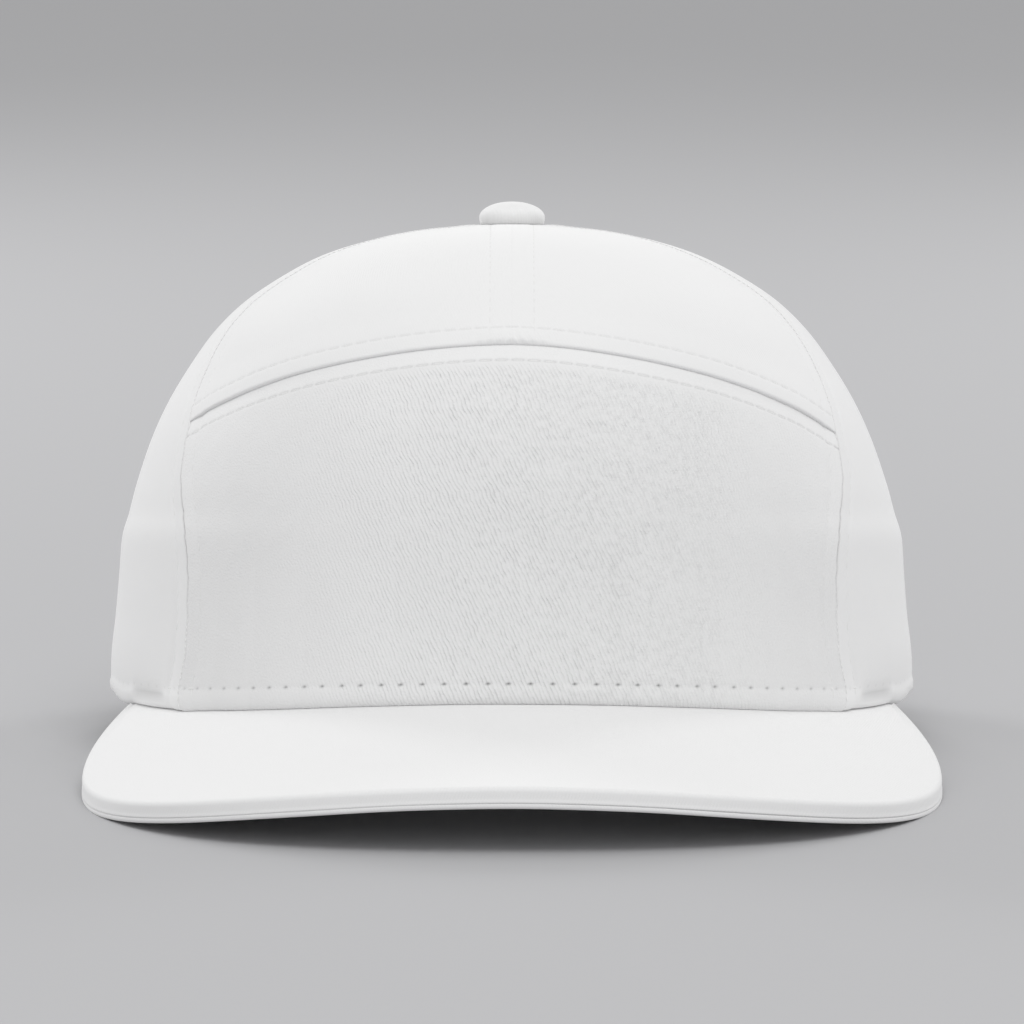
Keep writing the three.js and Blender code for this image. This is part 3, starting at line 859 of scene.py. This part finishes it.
# %% Upper front panels
LIP_RAISE = 0.42
LIP_ROUND = 0.5
LIP_MIDDLE_ROUND = 1.3
LIP_CREST = 2.0
LIP_REACH = 12.0
LIP_END_SHARE = 0.35
LIP_ROW = 4.1
LUMP = {"height": 0.45, "half_width": 7.2, "crest": 1.6, "reach": 2.2}
LUMP_RIPPLE = {"height": 0.2, "length": 2.1, "reach": 1.8}


def lip(distance):
    """The roll's height: it turns up out of the seam, crests and sinks back into the panel."""
    away, middle = distance["foot"], distance["near"]
    radius = LIP_ROUND + LIP_MIDDLE_ROUND * hump(middle, 9)
    turn_up = np.sqrt(1 - falling(away, radius) ** 2)
    sink = 0.5 + 0.5 * np.cos(np.pi * np.clip((away - LIP_CREST) / (LIP_REACH - LIP_CREST), 0, 1))
    ends = LIP_END_SHARE + (1 - LIP_END_SHARE) * np.clip(distance["far"] / 12, 0, 1) ** 0.7
    return LIP_RAISE * ends * turn_up * sink + lump(away, middle)


def lump(away, middle):
    """The four more layers in the middle: a thicker roll with small ripples near the seam."""
    ripple = LUMP_RIPPLE["height"] * np.sin(2 * np.pi * middle / LUMP_RIPPLE["length"] + 1.5 * away)
    height = LUMP["height"] + ripple * hump(away, LUMP_RIPPLE["reach"])
    roll = np.clip(away / 0.5, 0, 1) * hump(np.maximum(away - LUMP["crest"], 0), LUMP["reach"])
    return height * np.exp(-((middle / LUMP["half_width"]) ** 4)) * roll


def upper_panel(name, side):
    columns = column_stops(100, 0.44)

    def turn_of(u, level):
        seam = seam_turn(level)
        start = gap_turn(0 * level, level)
        return start + (seam - gap_turn(seam, level) - start) * u

    foot = arch_level(side * columns) + GAP_LEVEL
    turn, level = panel_grid(columns, turn_of, foot, 0 * foot + 1,
                             edge_stops([LIP_ROW], 7, step=0.5), edge_stops([], 2), step=0.9)
    rows = [
        stitch_row("foot", LIP_ROW, "arch_stitches", pitch=3.3, depth=0.12, width=0.4, line=0.05,
                   sink=0.15),
        stitch_row("near", SEAM_ROW, "centre_stitches"),
        stitch_row("far", SEAM_ROW, "side_stitches"),
        stitch_row("far", 0, "crease_stitches", **crease),
    ]
    edges = {"near": 0.06, "far": 0.46}
    sewn_panel(name, side, turn, level, edges, rows, "crown_cloth", lip)


upper_panel("upper_front_left", -1)
upper_panel("upper_front_right", 1)

# %% [markdown]
# The side panels run from the seam at the front to the one behind the ear. Their hem stands on the peak's
# tips and then comes down to the table. The tip is sewn in, so it pulls a small dent into the cloth over
# it, and painted shade in the dent helps the eye to see so shallow a dent.

# %% Side panels
BACK_SEAM_TURN = 120.0
DENT_PLACE, DENT_REACH, DENT_ABOVE_HEM = 16.0, 9.5, 1.8
DENT_EDGE, DENT_HEIGHT, DENT_DEPTH, DENT_PAINTED_SHADE = 0.3, 1.2, 1.25, 0.12
FULL_HEM = {"reach": 1.4, "middle": 1.6, "height": 0.14}
FULL_FROM, FULL_RUN_IN = 20, 9


def side_hem(distance):
    """The hem band, fuller behind the tip of the peak, and the dent where the tip pulls the cloth in."""
    ridge = seam_ridge(distance["near"], distance["foot"], 5)
    run_in = np.clip((distance["near"] - FULL_FROM) / FULL_RUN_IN, 0, 1)
    full = hump(distance["foot"], **FULL_HEM) * run_in
    return hem_band(distance) + ridge + full - DENT_DEPTH * tip_dent(distance)


def tip_dent(distance):
    """1 at the dent's lower edge, just above the hem, and less above it and beside it."""
    along = np.abs(distance["near"] - DENT_PLACE) / DENT_REACH
    above = distance["foot"] - DENT_ABOVE_HEM
    fading = np.exp(-np.maximum(above - DENT_EDGE, 0) / DENT_HEIGHT)
    return np.clip(1 - along**4, 0, 1) * np.clip(above / DENT_EDGE, 0, 1) * fading


def painted_dent_shade(distance):
    """Painted shade in the dent."""
    return 1 - DENT_PAINTED_SHADE * tip_dent(distance)


def side_panel(name, side):
    columns = column_stops(110, 0.62)

    def turn_of(u, level):
        seam = seam_turn(level)
        start = seam + gap_turn(seam, level)
        return start + (BACK_SEAM_TURN - gap_turn(BACK_SEAM_TURN + 0 * level, level) - start) * u

    zero = 0 * columns
    hem_stops = edge_stops([HEM_ROW - 0.4, HEM_ROW + 0.6], 9)
    turn, level = panel_grid(columns, turn_of, zero, zero + 1, hem_stops, edge_stops([], 2), step=1.15)
    rows = [
        stitch_row("foot", HEM_ROW, "hem_stitches", pitch=4.45, depth=0.05, prick=0.03, dark=0.04,
                   sink=0.2),
        stitch_row("near", SEAM_ROW, "side_stitches", **side_groove),
        stitch_row("far", SEAM_ROW, "back_stitches"),
    ]
    edges = {"foot": 0.5, "near": 0.46, "far": 0.4}
    sewn_panel(name, side, turn, level, edges, rows, "crown_cloth", side_hem, tone=painted_dent_shade)


side_panel("side_panel_left", -1)
side_panel("side_panel_right", 1)

# %% [markdown]
# The back panels are cut away over the strap in a rounded arch. A panel's lower edge is therefore one line
# that runs along the hem and then up round the opening.

# %% Back panels
OPENING_TURN = 31.0
OPENING_RISE = 54.0
OPENING_SQUARENESS = 2.3
HEM_SHARE = 0.34
SHOULDER_LEVEL = 0.76  # from here up the panel's columns are spread evenly


def back_foot(u):
    """Turn and height of the lower edge, from the seam at the side, 0, to the middle of the back, 1."""
    angle = np.pi / 2 * np.clip((u - HEM_SHARE) / (1 - HEM_SHARE), 0, 1)
    power = 2 / OPENING_SQUARENESS
    hem_turn = BACK_SEAM_TURN + (180 - OPENING_TURN - BACK_SEAM_TURN) * np.minimum(u / HEM_SHARE, 1)
    arch_turn = 180 - OPENING_TURN * np.maximum(np.cos(angle), 0) ** power
    return np.where(u < HEM_SHARE, hem_turn, arch_turn), OPENING_RISE * np.sin(angle) ** power


def back_panel(name, side):
    length = np.linspace(0, 1, 1001)
    turn_along, height_along = back_foot(length)
    path = run(crown_point(turn_along, level_at(height_along))[:, None], 0)[:, 0]
    columns = np.interp(column_stops(path[-1], 0.55), path / path[-1], length)
    start_turn, start_height = back_foot(columns)
    start_level = level_at(start_height)

    def turn_of(u, level):
        share = np.clip((level - start_level) / (SHOULDER_LEVEL - start_level), 0, 1)
        turn = start_turn + (BACK_SEAM_TURN + (180 - BACK_SEAM_TURN) * u - start_turn) * share
        gap = gap_turn(turn, level)
        return np.clip(turn, BACK_SEAM_TURN + gap, 180 - gap)

    turn, level = panel_grid(columns, turn_of, start_level, 0 * start_level + 1,
                             edge_stops([HEM_ROW], 7), edge_stops([], 2), step=1.3)
    rows = [
        stitch_row("foot", HEM_ROW, "hem_stitches", pitch=4.1, depth=0.12, prick=0.14, dark=0.16),
        stitch_row("near", SEAM_ROW, "back_stitches"),
        stitch_row("far", SEAM_ROW, "back_stitches"),
    ]
    edges = {"foot": 0.9, "near": 0.4, "far": 0.3}
    sewn_panel(name, side, turn, level, edges, rows, "crown_cloth", hem_band)


back_panel("back_panel_left", -1)
back_panel("back_panel_right", 1)

# %% [markdown]
# Inside the rim runs a band that lies on the head, and a strap closes the opening at the back. Both are
# plain woven tape, with turned edges and a row of stitches along each.

# %% Sweatband and strap
STRAP_REACH = OPENING_TURN + 8
BAND_REACH = 180 - STRAP_REACH - 3
TAPE_ROW = 2.5
TAPE_PITCH = 3.2
TAPE_ROUND = 0.5
TAPE_GROOVE = {"reach": 0.6, "height": 0.12}
TAPE_PRICK, TAPE_HOLE_PAINTED_SHADE = 0.1, 0.15


def tape(name, turns, heights, thickness, length, group, slot):
    """A tape inside the panels, between two turns and two heights above the rim."""
    columns = column_stops(length, 0.9)

    def turn_of(u, level):
        return turns[0] + (turns[1] - turns[0]) * u + 0 * level

    low, high = (0 * columns + level_at(height) for height in heights)
    stops = edge_stops([TAPE_ROW], 5)
    turn, level = panel_grid(columns, turn_of, low, high, stops, stops, step=1.5)
    base = crown_point(turn, level)
    near, foot = run(base, 1), run(base, 0)
    head = foot[-1:] - foot
    mark = rolled_edge(foot, TAPE_ROUND) + rolled_edge(head, TAPE_ROUND)
    shade = np.ones_like(mark)
    holes = needle_columns(near[0], TAPE_PITCH)
    for distance in (foot, head):
        away = distance - TAPE_ROW
        hole = pricks(away, near, holes)
        mark -= hump(away, **TAPE_GROOVE) + TAPE_PRICK * hole
        # Painted shade in the needle holes.
        shade -= TAPE_HOLE_PAINTED_SHADE * hole
    depth = PANEL_WALL + SEWN_GAP
    outer = cloth_point(turn, level, mark - depth)
    inner = cloth_point(turn, level, -mark - depth - thickness)
    normal = crown_normal(turn, level)
    for distance in (foot, head):
        for skin, way in ((outer, 1), (inner, -1)):
            path, normals = (row_points(grid, distance, TAPE_ROW) for grid in (skin, way * normal))
            sew(group, path, normals, holes)
    weave = np.stack([near, foot], axis=-1)
    cloth_wall(f"{name}_cloth", name, outer, inner, weave, shade, slot)


tape("sweatband", (-BAND_REACH, BAND_REACH), (3, 36), 1.2, 420, "band_stitches", "band_cloth")
tape("back_strap", (180 - STRAP_REACH, 180 + STRAP_REACH), (4, 24), 1.6, 130, "strap_stitches",
     "strap_cloth")

# %% [markdown]
# The peak is a board between two covers. The upper cover wraps over the board's edge and down it, and meets
# the lower one in a seam along the rim. Both are grids across the peak, whose last rows turn round the rim.

# %% Peak covers
RIM_ROUND = 0.75
RIM_LIFT = 0.6
LIFT_FROM = 0.7  # of the way to the rim
UNDER_ROUND = 0.8
UNDER_PROUD = 0.12
PEAK_SOFTNESS = 0.35
FLAT_ROWS = 64
RIM_FOLDS = (  # inset and depth of the rows where the upper cover turns in to the seam
    (0, 1.1), (0, 1.5), (0, 1.8), (-0.03, 2.0), (-0.09, 2.2), (-0.1, 2.35), (-0.06, 2.5), (0.01, 2.58),
    (0.08, 2.6),
)
UNDER_FOLDS = ((-0.12, 0.3), (-0.09, 0.14), (-0.02, 0.05), (0.08, 0.02))  # inset, depth below its top


def peak_point(share, across, inset, depth):
    """Points of the peak: share runs from tip to tip, across from under the crown to the rim."""
    angle = np.radians(np.abs(share) * PEAK_TIP_TURN)
    inner_x = (CROWN_BREADTH / 2 - PANEL_WALL) * np.sin(angle)
    inner_y = (PANEL_WALL - CROWN_FRONT) * np.cos(angle)
    inner = np.stack([inner_x, inner_y], -1)
    outer = peak_outline(np.abs(share))
    inward = (inner - outer) / np.linalg.norm(inner - outer, axis=-1, keepdims=True)
    at = inner + (outer + inward * inset[..., None] - inner) * across[..., None]
    x, y = at[..., 0] * np.sign(share), at[..., 1]
    return np.stack([x, y, peak_top(x, y) - depth], axis=-1)


def peak_cover(side, rim, depths, lift):
    """rim lists inset and depth of the rows that turn round the edge, depths those of the two faces. lift is
    how much higher the cover lies on the board's edge than over its middle."""
    flat = [rim[0][0], depths[0]]
    rows = np.array([flat] * (FLAT_ROWS - 1) + [list(row) for row in rim])
    steps = np.concatenate([np.linspace(0, 1, FLAT_ROWS), np.ones(len(rim) - 1)])
    share, across = np.meshgrid(1 - 2 * column_stops(330, 0.9), steps)
    inset, depth = rows[:, :1] + 0 * share, rows[:, 1:] + 0 * share
    face = peak_point(share, across, inset, depth)
    soft = PEAK_SOFTNESS * softness(face) * np.clip(across * 3, 0, 1)
    rise = np.clip((across - LIFT_FROM) / 0.3, 0, 1) ** 2 * np.clip(1 - depth / 2.4, 0, 1)
    face[..., 2] += soft * np.where(depth > depths[0] + 0.01, 0.4, 1) + lift * rise
    back = peak_point(share, across, 0 * inset + rim[-1][0] + 0.3, 0 * depth + depths[1])
    back = back[:1] + (back[-1:] - back[:1]) * np.linspace(0, 1, len(share))[:, None, None]
    back[..., 2] = peak_top(back[..., 0], back[..., 1]) - depths[1]
    up = run(face, 0)
    weave = np.stack([face[..., 0], up], axis=-1)
    # Painted shade along the cover's last rows, where it turns in to the seam at the rim.
    shade = 1 - hump(up[-1:] - up, 0.3, height=0.05)
    cloth_wall(f"peak_{side}_cloth", f"peak_{side}_cover", face, back, weave, shade, "peak_cloth")


under_top = PEAK_UPPER_WALL + SEWN_GAP
under_depth = under_top + PEAK_UNDER_WALL
quarter = np.radians(np.linspace(0, 90, 9))
rounding = [(1 - math.sin(angle), 1 - math.cos(angle)) for angle in quarter]
upper_rim = [(RIM_ROUND * inset, RIM_ROUND * depth) for inset, depth in rounding] + list(RIM_FOLDS)
under_rim = [
    (UNDER_ROUND * inset - UNDER_PROUD, under_depth - UNDER_ROUND * depth) for inset, depth in rounding
]
under_rim += [(inset, under_top + depth) for inset, depth in UNDER_FOLDS]
peak_cover("upper", upper_rim, (0, PEAK_UPPER_WALL), RIM_LIFT)
peak_cover("under", under_rim, (under_depth, under_top), 0)

# %% [markdown]
# The button is a small disc under a scrap of cloth. The cloth is gathered below it, so its side bulges out
# over the foot, and it shows faint radial gathers there. Painted shade darkens the lower part of its side.

# %% Button
BUTTON_PROFILE = (  # radius, rise above the crown
    (0, 4.95), (1.6, 4.88), (3.1, 4.66), (4.5, 4.22), (5.6, 3.68), (6.4, 3.05), (6.9, 2.4), (7.08, 1.8),
    (7.08, 1.2), (6.98, 0.6), (6.85, 0.1), (6.75, -0.26), (2.2, -0.3), (2.2, -2), (2.2, -4), (0, -4),
)
BUTTON_STEPS = 72
GATHER_COUNT, GATHER_DEPTH, GATHER_RISE, GATHER_REACH = 17, 0.05, 0.4, 0.9
BUTTON_SIDE_PAINTED_SHADE, SIDE_REACH = 0.1, 3
button_form = bmesh.new()
button_foot = CROWN_RISE + SEWN_GAP
corners = [button_form.verts.new((radius, 0, button_foot + rise)) for radius, rise in BUTTON_PROFILE]
profile_edges = [button_form.edges.new(pair) for pair in zip(corners, corners[1:])]
bmesh.ops.spin(button_form, geom=corners + profile_edges, cent=(0, 0, 0), axis=(0, 0, 1), angle=2 * math.pi,
               steps=BUTTON_STEPS, use_merge=True)
bmesh.ops.remove_doubles(button_form, verts=button_form.verts, dist=0.001)
for vert in button_form.verts:
    angle, rise = math.atan2(vert.co.y, vert.co.x), vert.co.z - button_foot
    if rise > -0.15:
        gather = GATHER_DEPTH * math.sin(GATHER_COUNT * angle + 2 * math.sin(3 * angle))
        gather *= hump(rise, GATHER_REACH, GATHER_RISE)
        vert.co.xy *= 1 + gather / max(vert.co.xy.length, 1)
weave_uv = button_form.loops.layers.uv.new("weave")
button_shade = button_form.loops.layers.color.new("shade")
for face in button_form.faces:
    for loop in face.loops:
        loop[weave_uv].uv = loop.vert.co.xy
        # Painted shade, darker towards the foot of the button.
        tone = 1 - BUTTON_SIDE_PAINTED_SHADE * falling(loop.vert.co.z - button_foot, SIDE_REACH)
        loop[button_shade] = (tone, 1, 0, 1)
bmesh.ops.transform(button_form, matrix=cap_matrix @ Matrix.Scale(MM, 4), verts=button_form.verts)
button = finish_piece(button_form, "button_cover", "button_cloth", "button")
smoothing = button.modifiers.new("smoothing", "SUBSURF")
smoothing.levels = smoothing.render_levels = 1

# %% [markdown]
# The threads were laid while the panels were made. Each group now becomes one piece.

# %% Threads
THREAD_DARK = (0.8, 0.8, 0.79)
THREAD_PALE = (0.88, 0.88, 0.88)
PLY_SCALE = 900
thread, thread_shader = new_material("thread", {"Roughness": 0.6})
thread_tree = thread.node_tree
ply = thread_tree.nodes.new("ShaderNodeTexWave")
set_inputs(ply, {"Scale": PLY_SCALE, "Distortion": 1})
place = thread_tree.nodes.new("ShaderNodeTexCoord")
thread_tree.links.new(place.outputs["Object"], ply.inputs["Vector"])
twist = mixed_colour(thread_tree, ply.outputs["Fac"], THREAD_DARK, THREAD_PALE)
thread_tree.links.new(twist, thread_shader.inputs["Base Color"])

OTHER_SLOTS = {"arch_stitches": "front_twill", "band_stitches": "band_cloth", "strap_stitches": "strap_cloth"}
for group, bm in thread_meshes.items():
    finish_piece(bm, group, OTHER_SLOTS.get(group, "crown_cloth"), material=thread)
bpy.data.meshes.remove(stitch_mesh)

# %% [markdown]
# The cap lies on a plain pale table. The light is soft and comes from above and in front, so the top of the
# crown and the peak are brightest. Two narrow lights stand low, beside the cap and a little behind it. They
# brighten the outer parts of both side panels, which turn away from the light in front.

# %% Table and lights
table_form = bmesh.new()
bmesh.ops.create_grid(table_form, x_segments=8, y_segments=8, size=7)
table = new_object("table", mesh_from(table_form, "table"))
table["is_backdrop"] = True
PAPER = {"Roughness": 0.95, "Specular IOR Level": 0.1, "Base Color": (0.5, 0.5, 0.51, 1)}
paper, _ = new_material("paper", PAPER)
table.data.materials.append(paper)
LIGHT_AIM = Vector((0, 0, 0.05))


def soft_light(name, place, size, power):
    """A soft light of a size in metres and a power in watts, aimed at the cap."""
    data = bpy.data.lights.new(name, "AREA")
    data.shape = "RECTANGLE"
    data.size, data.size_y = size
    data.energy = power
    light = new_object(name, data)
    light.location = place
    light.rotation_euler = (LIGHT_AIM - Vector(place)).to_track_quat("-Z", "Y").to_euler()


soft_light("key", (0.25, -1.5, 2.1), (1.6, 1.2), 19)
soft_light("fill", (-0.4, -2.6, 0.4), (1.6, 0.8), 1.5)
soft_light("edge_left", (-1.05, 1.26, 0.42), (0.4, 1.0), 8.5)
soft_light("edge_right", (1.05, 1.26, 0.42), (0.4, 1.0), 6.5)
world = bpy.data.worlds.new("room")
world.use_nodes = True
set_inputs(world.node_tree.nodes["Background"], {"Color": (1, 1, 1, 1), "Strength": 0.7})
bpy.context.scene.world = world
bpy.context.scene.view_settings.view_transform = "Standard"
print("lights", [light.name for light in bpy.data.lights])

# %% [markdown]
# Last, the script keeps both boxes, so that the dressed cap can be held against the solid model.

# %% Sizes
visual_box = [list(corner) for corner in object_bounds()]
print("visual box", [[round(value, 4) for value in corner] for corner in visual_box])
